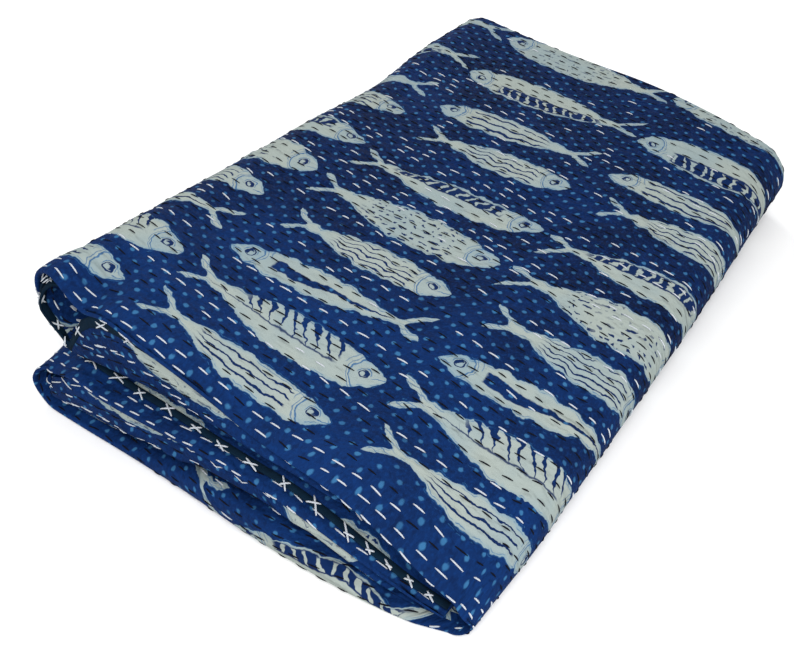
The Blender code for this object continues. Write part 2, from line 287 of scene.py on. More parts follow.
def layer_depth(layer, path, distance):
    """Depth of a layer in its bundle: evenly spaced, but for the loose front ends."""
    if layer == 0:
        return np.zeros_like(path)
    loose = fall(distance, 0.0, FRONT_REACH)
    front = looked_up(f"layer_{layer + 1}", path)
    depth = EVEN_LAYERS[layer] + (front - EVEN_LAYERS[layer]) * loose
    if layer == 2:
        y = distance + front_end(layer, path)
        lying = looked_up("flat", path) * fall(y, 0.001, 0.010)
        depth = depth * (1.0 - 0.93 * lying)
    return depth


def place(path, y, depth):
    """The point at this depth between the bundle's outer layer and its middle line."""
    outer, middle = rails(path, y)
    x = outer[0] + (middle[0] - outer[0]) * depth
    z = outer[1] + (middle[1] - outer[1]) * depth
    return np.stack([x, y, z], axis=-1)


def front_end(layer, path):
    """Where a layer's front end lies."""
    name = ("crease", "crease", "hem_3", "hem_4")[layer]
    uneven = 0.0012 * np.sin(5.3 * path + 1.3 * layer) + 0.0008 * np.sin(11.0 * path)
    reach = looked_up("reach", path) if layer == 2 else 0.0
    return (looked_up(name, path) - reach) / 1000 + uneven


def back_end(layer, path):
    """Where a layer's rows end at the back, before its turn."""
    outer, middle = rails(path, np.full_like(path, FOLDED_DEPTH))
    span = np.hypot(middle[0] - outer[0], middle[1] - outer[1])
    edge = FOLDED_DEPTH + 0.0025 * np.sin(2.1 * path + 0.5) - 0.018 * smooth(outer[0], 0.20, 0.37)
    if layer in (0, 3):
        return edge - OUTER_BULGE * span * EVEN_LAYERS[3]
    return edge - 0.5 * span * (EVEN_LAYERS[2] - EVEN_LAYERS[1]) - 0.0035


def layer_rows(layer, path):
    """One layer from front to back."""
    front, back = front_end(layer, path), back_end(layer, path)
    inland = INLAND_ROWS["outer" if layer == 0 else "inner"]
    depths_back = [front + (FIRST_SHARED - front) * i / FRONT_ROWS for i in range(FRONT_ROWS)]
    depths_back += [np.full_like(path, y) for y in np.linspace(FIRST_SHARED, LAST_SHARED, inland)]
    depths_back += [LAST_SHARED + (back - LAST_SHARED) * (i + 1) / 5 for i in range(5)]
    return [place(path, y, layer_depth(layer, path, y - front)) for y in depths_back]


def turn_rows(first, last, path, at_front):
    """The half turn that joins two layers at the front or at the back."""
    if at_front:
        y = front_end(first, path)
        depths = layer_depth(first, path, 0.0 * y), layer_depth(last, path, 0.0 * y)
    else:
        y = back_end(first, path)
        depths = layer_depth(first, path, y), layer_depth(last, path, y)
    outer, middle = rails(path, y)
    span = np.hypot(middle[0] - outer[0], middle[1] - outer[1])
    width = np.abs(depths[1] - depths[0]) * span
    if last == 3:
        bulge = OUTER_BULGE * width
    else:
        bulge = 0.0015 + 0.5 * width / (1.0 + width / 0.010)
    centre, half = (depths[0] + depths[1]) / 2, (depths[1] - depths[0]) / 2
    rows = []
    for angle in np.linspace(0, np.pi, TURN_ROWS + 2)[1:-1]:
        point = place(path, y, centre - half * np.cos(angle))
        point[..., 1] += (-1.0 if at_front else 1.0) * bulge * np.sin(angle)
        rows.append(point)
    return rows


def hem_rows(path):
    """The innermost layer's front end, turned up against the bundle's front face."""
    end = front_end(3, path)
    depth = layer_depth(3, path, 0.0 * end)
    rise = looked_up("rise", path) * (RISE_MORE - RISE_LESS * fall(path, 0.45, 0.75))
    up = smooth(rise, 0.0, 1.2)
    rows = []
    places = np.arange(len(TURN_TABLE))
    for at in np.linspace(0, len(TURN_TABLE) - 1, HEM_ROWS):
        straight, turned, share, lean = (curve(places, column, at) for column in zip(*TURN_TABLE))
        y = end + (straight + (turned + lean - straight) * up) / 1000
        low = depth * (1.0 - looked_up("dip", path) * smooth(at, 0.3, 2.6))
        lifted = low + (np.maximum(rise, low) - low) * share * up
        rows.append(place(path, y, lifted))
    return rows


def fold_path():
    """Stations along the fold path, from one free side of the cloth to the other."""
    stations = [0.0]
    for stretch, steps in STEPS.items():
        stations += [stretch + (step + 1) / steps for step in range(steps)]
    return np.array(stations)


def folded_cloth():
    """The folded grid's points, and the rows at which each layer starts and ends."""
    path = fold_path()
    parts = (
        ("layer_3", layer_rows(2, path)),
        ("back_turn", turn_rows(2, 1, path, False)),
        ("layer_2", layer_rows(1, path)[::-1]),
        ("front_turn", turn_rows(1, 0, path, True)),
        ("layer_1", layer_rows(0, path)),
        ("outer_turn", turn_rows(0, 3, path, False)),
        ("layer_4", layer_rows(3, path)[:3:-1]),
        ("hem", hem_rows(path)),
    )
    rows, spans = [], {}
    for name, made in parts:
        spans[name] = (len(rows), len(rows) + len(made))
        rows += made
    return path, np.array(rows), spans


def lengths(points, axis):
    """Distance passed along a grid from its first row or column."""
    steps = np.linalg.norm(np.diff(points, axis=axis), axis=-1)
    start = np.zeros_like(np.take(steps, [0], axis=axis))
    return np.concatenate([start, np.cumsum(steps, axis=axis)], axis=axis)


def filled_out(points):
    """The last few millimetres of the outline: how the cloth stands beside the solid's folds."""
    x, y, z = points[..., 0], points[..., 1], points[..., 2]
    out = RIGHT_FULLER * smooth(x, 0.18, 0.36) * smooth(y, -0.03, 0.08) * fall(y, 0.26, 0.56)
    back = BACK_HIGHER * smooth(y, 0.40, 0.56) * fall(x, 0.33, 0.39) * smooth(z, 0.0, 0.08)
    corner = (CORNER_HIGHER * fall(x, 0.03, 0.09) * fall(y, 0.0, 0.07)
              * smooth(z, 0.06, 0.11))
    sunk = (ROLL_SUNK * fall(x, 0.03, 0.14) * smooth(y, 0.05, 0.16)
            * fall(y, 0.38, 0.50) * smooth(z, 0.03, 0.11))
    return points + np.stack([out, 0.0 * y, back + corner - sunk], -1)


PATH, POINTS, SPANS = folded_cloth()
POINTS = filled_out(POINTS)
FIRST_1, END_1 = SPANS["layer_1"]
MIDDLE_ROW = FIRST_1 + int(np.argmin(np.abs(POINTS[FIRST_1:END_1, 0, 1] - 0.25)))
# Across and along: a cloth point's place on the flat cloth. Across is x on the top band, and along
# is y on the outer layer.
ACROSS = lengths(POINTS[MIDDLE_ROW][None], 1)[0]
TOP_MIDDLE = int(np.argmin(np.abs(PATH - 2.5)))
ACROSS = ACROSS - ACROSS[TOP_MIDDLE] + POINTS[MIDDLE_ROW, TOP_MIDDLE, 0]
ALONG = lengths(POINTS, 0)
ALONG = ALONG - ALONG[MIDDLE_ROW][None] + POINTS[MIDDLE_ROW][None, :, 1]


def grid_normals(points):
    """Unit normals of a grid, up on the top layer."""
    across = np.gradient(points, axis=1)
    along = np.gradient(points, axis=0)
    normal = np.cross(across, along)
    return normal / np.maximum(np.linalg.norm(normal, axis=-1, keepdims=True), 1e-12)


# Creases and soft ridges, listed one by one: across and along at one end and at the other, in
# metres on the flat cloth, then half the width and the height in millimetres. A trough's height is
# below 0.
CREASE_TABLE = (
    (0.712, 1.1720, 0.676, 1.1735, 2.2, -3.0),
    (0.676, 1.1735, 0.632, 1.1600, 2.4, -2.6),
    (0.705, 1.1800, 0.640, 1.1700, 2.6, 1.6),
    (0.620, 1.1640, 0.520, 1.1700, 3.0, -1.8),
    (0.875, -0.0120, 0.945, -0.0020, 3.0, -1.6),
    (0.985, -0.0160, 1.060, -0.0060, 3.5, -1.2),
    (-0.090, 1.1720, -0.150, 1.1660, 3.5, -2.0),
    (-0.130, 1.1760, -0.230, 1.1700, 3.0, 1.4),
    (0.052, 0.0040, 0.125, 0.0420, 6.0, -1.8),
    (0.105, -0.0020, 0.200, 0.0260, 6.0, 1.4),
    (0.165, -0.0040, 0.265, 0.0300, 5.0, -1.5),
    (0.225, 0.0020, 0.330, 0.0480, 7.0, 1.3),
    (0.262, -0.0060, 0.345, 0.0130, 5.0, -1.6),
    (-0.030, 0.0160, 0.052, 0.0520, 6.0, -1.4),
    (-0.025, 0.0900, 0.045, 0.1180, 7.0, -1.2),
    (-0.020, 0.2050, 0.050, 0.2260, 8.0, 1.2),
    (0.300, 0.1200, 0.385, 0.1500, 7.0, -1.4),
    (0.290, 0.2350, 0.385, 0.2480, 8.0, 1.3),
    (0.310, 0.3300, 0.390, 0.3620, 7.0, -1.3),
    (0.300, 0.4450, 0.392, 0.4700, 6.0, -1.6),
    (0.060, 0.5250, 0.200, 0.5320, 6.0, -1.4),
    (0.110, 0.1020, 0.230, 0.0960, 9.0, 0.9),
    (0.080, 0.2800, 0.240, 0.3000, 9.0, -0.9),
)


def creased(points):
    """The cloth with its creases pressed into it."""
    moved = np.zeros(points.shape[:2])
    across, along = np.broadcast_arrays(ACROSS, ALONG)
    for across_1, along_1, across_2, along_2, width, height in CREASE_TABLE:
        run, climb = across_2 - across_1, along_2 - along_1
        length = np.hypot(run, climb)
        passed = ((across - across_1) * run + (along - along_1) * climb) / length
        bend = 0.12 * length * (passed / length) * (1.0 - passed / length)
        aside = ((along - along_1) * run - (across - across_1) * climb) / length - bend
        ends = smooth(passed, 0.0, length * 0.3) * fall(passed, length * 0.7, length)
        moved += height / 1000 * ends * np.exp(-((aside * 1000 / width) ** 2))
    return points + grid_normals(points) * moved[..., None]


POINTS = creased(POINTS)
NORMALS = grid_normals(POINTS)


def add_object(name, data):
    """A new object in the scene."""
    thing = bpy.data.objects.new(name, data)
    bpy.context.scene.collection.objects.link(thing)
    return thing


def add_mesh(name, points, faces, material):
    """A smooth mesh from points given from the folds' own origin."""
    mesh = bpy.data.meshes.new(name)
    mesh.from_pydata((points + ORIGIN).reshape(-1, 3).tolist(), [], faces)
    mesh.shade_smooth()
    mesh.materials.append(material)
    return add_object(name, mesh)


def numbered(points):
    """The number of each point, in the points' own rows and columns."""
    return np.arange(points[..., 0].size).reshape(points.shape[:-1])


def tube_quads(index, around):
    """Quads along axis 1 and all round the other axis given."""
    after = np.roll(index, -1, axis=around)
    return np.stack([index[:, :-1], after[:, :-1], after[:, 1:], index[:, 1:]], -1).reshape(-1, 4)


# ---------------------------------------------------------------------------------------------
# Material nodes, written as sums.
def math_node(operation):
    """A method that works a value out with one Math node."""
    return lambda self, *others: self.math(operation, *others)


class Value:
    """A socket that can be added, multiplied and so on."""

    def __init__(self, socket):
        self.socket, self.tree = socket, socket.id_data

    def math(self, operation, *others):
        node = self.tree.nodes.new("ShaderNodeMath")
        node.operation = operation
        for slot, other in zip(node.inputs, (self, *others)):
            put(other, slot)
        return Value(node.outputs[0])

    __add__ = math_node("ADD")
    __sub__ = math_node("SUBTRACT")
    __mul__ = math_node("MULTIPLY")
    __truediv__ = math_node("DIVIDE")
    __mod__ = math_node("FLOORED_MODULO")
    __abs__ = math_node("ABSOLUTE")
    least = math_node("MINIMUM")
    most = math_node("MAXIMUM")
    part = math_node("FRACT")
    whole = math_node("FLOOR")
    sine = math_node("SINE")
    cosine = math_node("COSINE")

    def opposite(self):
        """1 minus the value."""
        return self.math("MULTIPLY_ADD", -1.0, 1.0)

    def distance(self, other):
        """How far a point is, from how far it is along and aside."""
        return (self * self + other * other).math("SQRT")

    def near(self, centre, width, soft):
        """1 within width of centre, 0 beyond it, with a soft edge."""
        return abs(self - centre).rise(width + soft, width - soft)

    def window(self, out, full, still, gone):
        """0 up to out, 1 from full to still, 0 from gone on."""
        return self.rise(out, full) * self.rise(gone, still)

    def rise(self, low, high):
        """0 at low, 1 at high, and an even curve between them."""
        node = self.tree.nodes.new("ShaderNodeMapRange")
        node.interpolation_type = "SMOOTHSTEP"
        reverse = low > high
        put(self, node.inputs["Value"])
        node.inputs["From Min"].default_value = min(low, high)
        node.inputs["From Max"].default_value = max(low, high)
        node.inputs["To Min"].default_value = 1.0 if reverse else 0.0
        node.inputs["To Max"].default_value = 0.0 if reverse else 1.0
        return Value(node.outputs["Result"])

    def shape(self, points):
        """A drawn curve of the value, from (value, height) points."""
        node = self.tree.nodes.new("ShaderNodeFloatCurve")
        put(self, node.inputs["Value"])
        line = node.mapping.curves[0]
        for point in points[1:-1]:
            line.points.new(*point)
        line.points[0].location, line.points[-1].location = points[0], points[-1]
        node.mapping.update()
        return Value(node.outputs[0])

    def steps(self, rows):
        """Looks up rows of (start, (four numbers from 0 to 1)) and gives the four numbers."""
        node = self.tree.nodes.new("ShaderNodeValToRGB")
        ramp = node.color_ramp
        ramp.interpolation = "CONSTANT"
        put(self, node.inputs["Fac"])
        while len(ramp.elements) < len(rows):
            ramp.elements.new(0.5)
        for element, (start, _) in zip(ramp.elements, rows):
            element.position = start
        for element, (_, numbers) in zip(ramp.elements, rows):
            element.color = numbers
        return (*channels(node.outputs["Color"]), Value(node.outputs["Alpha"]))

    def blend(self, low, high):
        """From one colour at 0 to another at 1."""
        node = self.tree.nodes.new("ShaderNodeMix")
        node.data_type = "RGBA"
        put(self, node.inputs["Factor"])
        put(low, node.inputs[6])
        put(high, node.inputs[7])
        return node.outputs[2]


def linear(*srgb):
    """A colour given as the picture shows it, 0 to 255."""
    found = [(c / 255 / 12.92 if c / 255 <= 0.04045 else ((c / 255 + 0.055) / 1.055) ** 2.4)
             for c in srgb]
    return (*found, 1.0)


def put(value, slot):
    """Links a value or sets a plain number or colour."""
    if isinstance(value, Value):
        value = value.socket
    if isinstance(value, bpy.types.NodeSocket):
        slot.id_data.links.new(value, slot)
    else:
        slot.default_value = value


def channels(colour):
    """A colour's red, green and blue, or a vector's parts."""
    kind = "ShaderNodeSeparateColor" if colour.type == "RGBA" else "ShaderNodeSeparateXYZ"
    node = colour.id_data.nodes.new(kind)
    put(colour, node.inputs[0])
    return [Value(output) for output in node.outputs]


def stored(tree, name, output):
    """What the mesh stores under this name."""
    node = tree.nodes.new("ShaderNodeAttribute")
    node.attribute_name = name
    return node.outputs[output]


def vector(x, y):
    """A place on the flat cloth, for the textures."""
    node = x.tree.nodes.new("ShaderNodeCombineXYZ")
    put(x, node.inputs[0])
    put(y, node.inputs[1])
    return node.outputs[0]


def noise(spot, scale, detail=2.0, roughness=0.5, dimensions="2D"):
    """Noise with about one swing every 1/scale metres."""
    node = spot.id_data.nodes.new("ShaderNodeTexNoise")
    node.noise_dimensions = dimensions
    put(spot, node.inputs["Vector"])
    for name, number in (("Scale", scale), ("Detail", detail), ("Roughness", roughness)):
        node.inputs[name].default_value = number
    return Value(node.outputs["Fac"])


def fabric(name, roughness):
    """A material with cotton's soft gloss, its nodes and its shader's inputs."""
    material = bpy.data.materials.new(name)
    material.use_nodes = True
    inputs = material.node_tree.nodes["Principled BSDF"].inputs
    inputs["Roughness"].default_value = roughness
    inputs["Specular IOR Level"].default_value = GLOSS
    return material, material.node_tree, inputs


def relief(height, depth, inputs):
    """Bumps in a surface. A height of 1 stands for the depth, in metres."""
    bump = height.tree.nodes.new("ShaderNodeBump")
    bump.inputs["Distance"].default_value = depth
    put(height, bump.inputs["Height"])
    put(bump.outputs[0], inputs["Normal"])


def solid_place(tree):
    """A place in the object's own space."""
    return tree.nodes.new("ShaderNodeTexCoord").outputs["Object"]


# ---------------------------------------------------------------------------------------------
# The print: a block of twelve rows of one fish each, repeated across and along the cloth. The
# repeats are in metres and the table is in millimetres.
REPEAT_ACROSS = 0.175
REPEAT_ALONG = 0.677
ROW_SLANT = 0.07  # how far along a row of fishes climbs, as a share of its run across
DOTS_ACROSS, DOTS_ALONG = 0.0156, 0.0140
# ends: where the fish's own strip of the block ends. middle: its middle along the cloth. start,
# length, half: its left end, its length and half its height. tilt and bow: how its middle line
# runs. flip: head to the left. upside: back down. The rest says what is drawn on the body.
# count: how many stripes.
PRINT_COLUMNS = ("ends", "middle", "start", "length", "half", "tilt", "bow", "flip",
                 "stripes", "ribs", "split", "flecks", "ladder", "waves", "upside", "count")
PRINT_TABLE = (
    (55, 32.5, 88, 149, 12.5, 0.00, -3.0, 0, 1, 0, 0, 0, 0, 0.3, 0, 2.0),
    (101, 77.0, 82, 166, 18.5, 0.02, -3.0, 0, 0, 1, 0, 0, 0, 0.3, 0, 2.0),
    (149, 124.5, 89, 158, 14.0, 0.13, 0.0, 1, 0, 0, 1, 0, 0, 0.9, 0, 2.0),
    (199, 173.5, 97, 143, 14.5, 0.05, 0.0, 0, 1, 0, 0, 0, 0, 0.9, 0, 2.6),
    (253, 225.0, 82, 167, 21.5, 0.06, 0.0, 0, 0, 0, 0, 1, 0, 0.9, 0, 2.0),
    (316, 282.0, 85, 168, 17.0, 0.10, 0.0, 0, 0, 0, 0, 0, 1, 0.7, 0, 2.0),
    (374, 350.0, 102, 143, 15.0, 0.10, 0.0, 0, 1, 0, 0, 0, 0, 0.9, 0, 2.3),
    (432, 398.0, 87, 156, 16.0, 0.12, 0.0, 1, 1, 0, 0, 0, 0, 0.5, 0, 1.6),
    (506, 468.0, 82, 173, 21.0, 0.09, 0.0, 1, 0, 0, 0, 0, 1, 0.5, 1, 2.0),
    (570, 545.0, 80, 174, 20.0, 0.02, 0.0, 1, 0, 0, 0, 0.6, 0, 0.6, 0, 2.0),
    (611, 590.0, 90, 150, 12.0, 0.04, 0.0, 0, 1, 0, 0, 0, 0, 0.5, 0, 2.0),
    (677, 634.0, 84, 164, 12.5, 0.05, 0.0, 0, 0, 0, 0, 0, 1, 0.6, 1, 2.0),
)
# From and to, for the columns that don't run from 0 to 1.
PRINT_RANGES = {"middle": (0, 600), "start": (60, 120), "length": (100, 200), "half": (0, 30),
                "tilt": (0, 0.2), "bow": (-10, 10), "count": (0, 4)}
# Half the outline from the tail's tips to the nose, as shares of the half height, and the notch
# in the tail fin.
OUTLINE = ((0.00, 1.16), (0.03, 1.12), (0.07, 0.82), (0.11, 0.50), (0.145, 0.30), (0.19, 0.30),
           (0.27, 0.48), (0.40, 0.82), (0.53, 1.00), (0.66, 0.98), (0.78, 0.90), (0.86, 0.76),
           (0.93, 0.52), (0.975, 0.26), (1.00, -0.04))
NOTCH = ((0.0, 1.16), (0.03, 0.70), (0.065, 0.42), (0.10, 0.12), (0.125, -0.3), (1.0, -1.0))

NAVY, DEEP_NAVY, BRIGHT_NAVY = linear(9, 31, 72), linear(6, 18, 46), linear(14, 50, 104)
PALE, PALE_BLUE, HALO = linear(144, 153, 148), linear(106, 134, 150), linear(40, 84, 126)
DOT = linear(50, 100, 142)
INK = linear(12, 34, 74)
TEAL, DARK_TEAL = linear(12, 33, 50), linear(6, 19, 31)
WHITE_THREAD, DARK_THREAD = linear(222, 229, 234), linear(6, 6, 10)

STITCH_ROWS = 0.0095
STITCH_PITCH = 0.0155
STITCH_LENGTH, STITCH_THICKNESS = 0.0080, 0.0012
STITCH_DIP = 0.0004
STITCH_FLATNESS = 0.75
CROSS_LENGTH, CROSS_PITCH, CROSS_THICKNESS = 0.0125, 0.0245, 0.0014
ZIGZAG_STEP, ZIGZAG_THICKNESS = 0.0115, 0.0009
ON_FISH, ON_STRIPES = 0.0185, 0.0105  # so near a fish's middle the stitches are dark, or fewer
FEW, MOST = 0.08, 0.96  # white ones on the fishes, and ones that show elsewhere
HEM_BAND = 0.009
TOP_HEM_ENDS = 3.0  # on the fold path: from there on the hems are plain
GLOSS = 0.05
WEAVE = 7854.0  # radians a metre: a thread every 0.4 mm

# Where the print lies askew: across from and to, along from and to on the flat cloth, in metres,
# and how many millimetres it is shifted along.
ASKEW_TABLE = (
    (0.22, 1.50, -0.05, 0.62, 12.0),
    (0.24, 1.50, 0.16, 0.38, 6.0),
    (0.46, 1.50, -1.50, 1.50, -22.0),
    (-0.45, -0.15, 0.92, 1.50, -31.0),
    (-0.45, 0.02, -1.50, -1.05, -21.0),
    (-0.60, -0.33, -1.50, -1.05, 24.0),
    (-0.09, 0.10, 1.00, 1.50, 30.0),
    (0.40, 0.54, 1.00, 1.50, -30.0),
    (0.43, 0.60, -0.14, -0.02, 28.0),
    (0.60, 1.00, -0.10, 0.02, 10.0),
    (-0.20, 0.36, -0.30, -0.06, -22.0),
)
SOFT_ACROSS, SOFT_ALONG = 0.06, 0.09  # over how much of the cloth a shift sets in


def row_wander(across, along):
    """How far a row of stitches strays, for NumPy arrays or node values alike."""
    sine = Value.sine if isinstance(across, Value) else np.sin
    return (sine(across * 33.0 + along * 7.0) * 0.0012
            + sine(across * 88.0 - along * 29.0) * 0.0006)


def print_numbers(place_along):
    """The print table's columns at a place in the block, but for the first."""
    ends = list(zip(*PRINT_TABLE))[0]
    starts = [0.0] + [end / 1000 / REPEAT_ALONG for end in ends[:-1]]
    found = []
    for first in range(1, len(PRINT_COLUMNS), 4):  # a colour ramp holds four numbers
        spans = [PRINT_RANGES.get(name, (0, 1)) for name in PRINT_COLUMNS[first:first + 4]]
        rows = []
        for start, row in zip(starts, PRINT_TABLE):
            numbers = [(v - low) / (high - low) for v, (low, high) in zip(row[first:], spans)]
            rows.append((start, numbers + [1.0] * (4 - len(numbers))))
        found += [value * (high - low) + low
                  for value, (low, high) in zip(place_along.steps(rows), spans)]
    return found


def fish_print(tree):
    """The printed colour at each point, with some painted light in the ground, and the cloth's
    places and noises behind it.
    """
    # The flat cloth's coordinates: across as printed, along, and across as woven.
    printed, along, woven = channels(stored(tree, "cloth", "Vector"))
    flat = vector(printed, along)
    coarse, ragged = noise(flat, 85.0, 2.0, 0.55), noise(flat, 260.0, 2.0, 0.6)
    large, fine = noise(flat, 14.0, 3.0, 0.6), noise(flat, 420.0, 2.0, 0.6)
    wide, narrow = [channels(value.socket.node.outputs["Color"]) for value in (coarse, ragged)]
    stray_x, stray_y = [(wide[i] - 0.5) * 0.0048 + (narrow[i] - 0.5) * 0.0014 for i in (0, 1)]
    x, y = printed + stray_x, along + stray_y

    # Which fish of the block this is, and its own numbers.
    in_cell = (x - 0.080) % REPEAT_ACROSS
    slanted = y - (in_cell - REPEAT_ACROSS / 2) * ROW_SLANT
    place_along = (slanted / REPEAT_ALONG).part()
    (middle, start, length, half, tilt, bow, flip, stripes, ribs, split, flecks, ladder, waves,
     upside, count) = print_numbers(place_along)
    middle, start, length, half = (v * 0.001 for v in (middle, start, length, half))

    from_start = (x - start) % REPEAT_ACROSS
    run = from_start / length
    # Height over the fish's own slanted, bowed middle line.
    arch = (run * run.opposite()) * 4.0
    height = place_along * REPEAT_ALONG - middle
    height = height - (from_start - length * 0.5) * (tilt - ROW_SLANT) - arch * bow * 0.001
    q = run + flip * (run * -2.0 + 1.0)
    height = height * (upside * -2.0 + 1.0)

    # Cut by hand: the edge runs in short scallops, uneven from fish to fish.
    scallop = abs((from_start * 190.0 + middle * 40.0 + height * 60.0).sine()) - 0.6
    wobble = scallop * 0.0017 + (from_start * 233.0 + middle * 90.0).sine() * 0.0006
    half = half * q.rise(0.08, 0.26) + q.rise(0.26, 0.08) * 0.0118
    outline = q.shape([(a, (b + 0.25) / 1.5) for a, b in OUTLINE]) * 1.5 - 0.25
    notch = q.shape([(a, (b + 1.0) / 2.25) for a, b in NOTCH]) * 2.25 - 1.0
    inside = outline * half - abs(height) + wobble * (waves * 0.6 + 0.5)
    inside = inside.least(abs(height) - notch * half)
    inside = inside.least(q * length * 0.8).least(q.opposite() * length)

    share = height / (outline.most(0.05) * half)  # -1 at the belly, 1 at the back
    body = q.window(0.26, 0.33, 0.775, 0.795)
    long_body = q.window(0.17, 0.25, 0.775, 0.795)

    # Dark wedges that open at the back, and a split along the middle: both show the ground.
    rib_phase = (q * length * 106.0 + share * 1.1 + coarse * 0.8).part()
    wedge = abs(rib_phase - 0.5) - share * 0.20 - 0.02
    wedge = wedge.rise(0.05, -0.01) * share.window(-0.10, 0.0, 1.2, 1.35) * ribs * body
    midline = share.near(-0.06, 0.045, 0.03) * ribs * q.window(0.10, 0.16, 0.76, 0.80)
    gap = abs(share + (from_start * 130.0).sine() * 0.10 + 0.04) - q.rise(0.40, 0.76) * 0.26 - 0.13
    gap = gap.rise(0.05, -0.03) * q.window(0.13, 0.20, 0.77, 0.785) * split
    cut = wedge.most(gap)

    wave_line = (from_start * 300.0 + count * 2.0).sine() * 0.10 * waves
    bend = (q - 0.5) * 0.3
    lines = ((share + wave_line - bend) * count).part()
    thick = share.rise(0.55, -0.65) * 0.05
    stripe = (abs(lines - 0.5) + thick).rise(0.38, 0.42) * abs(share).rise(0.86, 0.78)
    stripe = stripe * (coarse * 3.0 - share * 0.6).rise(0.45, 0.75)
    fleck_row = share * 3.4 + coarse * 0.8
    fleck = (from_start * 105.0 + fleck_row.whole() * 0.5 + coarse * 1.8).part()
    fleck = abs(fleck - 0.5).rise(0.22, 0.15) * abs(fleck_row.part() - 0.5).rise(0.21, 0.12)
    fleck = fleck * large.rise(0.34, 0.46)
    dark_back = share.window(0.02, 0.10, 0.84, 0.92)
    tick = abs((from_start * 110.0 - share * 0.5 + coarse * 0.8).part() - 0.5)
    tick = tick.rise(0.20, 0.13) * share.window(0.12, 0.22, 0.76, 0.86)
    rung = dark_back * tick.opposite()
    line_work = (stripe * stripes * body).most(midline * 0.9)
    line_work = line_work.most(fleck * flecks * body).most(rung * ladder * long_body)

    # Head: eye, gills and mouth.
    eye_x = q.opposite() * length - 0.0150
    eye_y = height - half * 0.10
    eye = eye_x.distance(eye_y)
    around = eye.near(0.0050, 0.0003, 0.0002) * eye_y.rise(-0.0020, 0.0010)
    ring = eye.near(0.0034, 0.0005, 0.0002)
    pupil = (eye_x + 0.0009).distance(eye_y - 0.0006).rise(0.0030, 0.0024)
    glint = (eye_x - 0.0006).distance(eye_y + 0.0006).rise(0.0021, 0.0015)
    pupil = (pupil * eye.rise(0.0036, 0.0032) * glint.opposite()).most(ring)
    gill_x = eye_x + 0.0050
    gill = gill_x.distance(eye_y)
    gills = gill.near(0.0150, 0.0005, 0.0003) * gill_x.rise(0.003, 0.007)
    gills = gills.most(gill.near(0.0170, 0.0003, 0.0002) * gill_x.rise(0.005, 0.009) * 0.8)
    gills = gills.most(gill.near(0.0205, 0.0004, 0.0003) * eye_y.rise(0.001, 0.004) * 0.7)
    mouth = (eye_y + 0.0040 + eye_x * 0.16).near(0.0, 0.0003, 0.0002)
    mouth = mouth * eye_x.rise(-0.0045, -0.0065)
    head = gill.rise(0.0156, 0.0148).most(eye_x.rise(0.0, -0.003))
    tail_rays = (height * 1300.0 + q * 26.0).sine().rise(0.82, 1.0) * q.rise(0.15, 0.09) * 0.8

    # Edges: pale body, a broken thin line within it, a light blue fringe, and here and there a
    # second thin outline just outside it.
    pale = inside.rise(-0.0002, 0.0002) * cut.opposite()
    fringe = inside.rise(-0.0010, -0.0002) * coarse.rise(0.36, 0.56) * inside.rise(0.0003, 0.0)
    second = inside.near(-0.0016, 0.0002, 0.0002) * coarse.rise(0.55, 0.62) * q.rise(0.20, 0.30)
    second = second.most(inside.near(-0.0030, 0.0002, 0.0002) * ragged.rise(0.50, 0.60)
                         * q.near(0.47, 0.08, 0.02) * height.rise(-0.002, -0.006))
    rim = inside.near(0.0014, 0.0002, 0.0002) * coarse.rise(0.48, 0.56) * 0.9
    fine_line = line_work * inside.rise(0.0004, 0.0010) * gill.rise(0.0150, 0.0160)
    blue_line = rim.most(around).most(gills).most(mouth).most(tail_rays) * pale

    # Dots on the ground, none near a fish.
    def dots(shift):
        across_dot = ((dot_x / DOTS_ACROSS + shift).part() - 0.5) * DOTS_ACROSS
        along_dot = ((dot_y / DOTS_ALONG + shift).part() - 0.5) * DOTS_ALONG
        return (across_dot * across_dot * 0.8 + along_dot * along_dot).math("SQRT")
    dot_x, dot_y = printed + stray_y * 0.6, along + stray_x * 0.6
    dot = dots(0.0).least(dots(0.5)) + (ragged - 0.5) * 0.0014
    dot = dot.rise(0.0020, 0.0009) * inside.rise(-0.0020, -0.0026).most(gap)
    dot = dot * large.rise(0.25, 0.55).math("MULTIPLY_ADD", 0.45, 0.55)

    ground = large.rise(0.30, 0.72).blend(DEEP_NAVY, NAVY)
    # Lighter navy at the front of the top and on the folded-back front faces: partly uneven dye,
    # partly painted light that falls off from the front.
    dye_and_painted_light = along.rise(0.30, -0.05).most(along.rise(0.90, 1.05) * 0.6) * 0.7
    ground = dye_and_painted_light.blend(ground, large.blend(NAVY, BRIGHT_NAVY))
    ground = (fine.rise(0.42, 0.75) * 0.45).blend(ground, BRIGHT_NAVY)
    ground = (ragged.rise(0.50, 0.30) * 0.35).blend(ground, DEEP_NAVY)
    ground = (dot * 0.9).blend(ground, DOT)
    ground = (fringe * 0.7).most(second * 0.8).blend(ground, HALO)
    worn = large.rise(0.35, 0.75) * 0.35 + inside.rise(0.0030, 0.0004) * 0.35 + head * 0.22
    skin = worn.least(0.85).blend(PALE, PALE_BLUE)
    skin = (blue_line * 0.9).blend(skin, HALO)
    skin = fine_line.most(pupil * pale).blend(skin, INK)
    return pale.blend(ground, skin), along, woven, large, fine


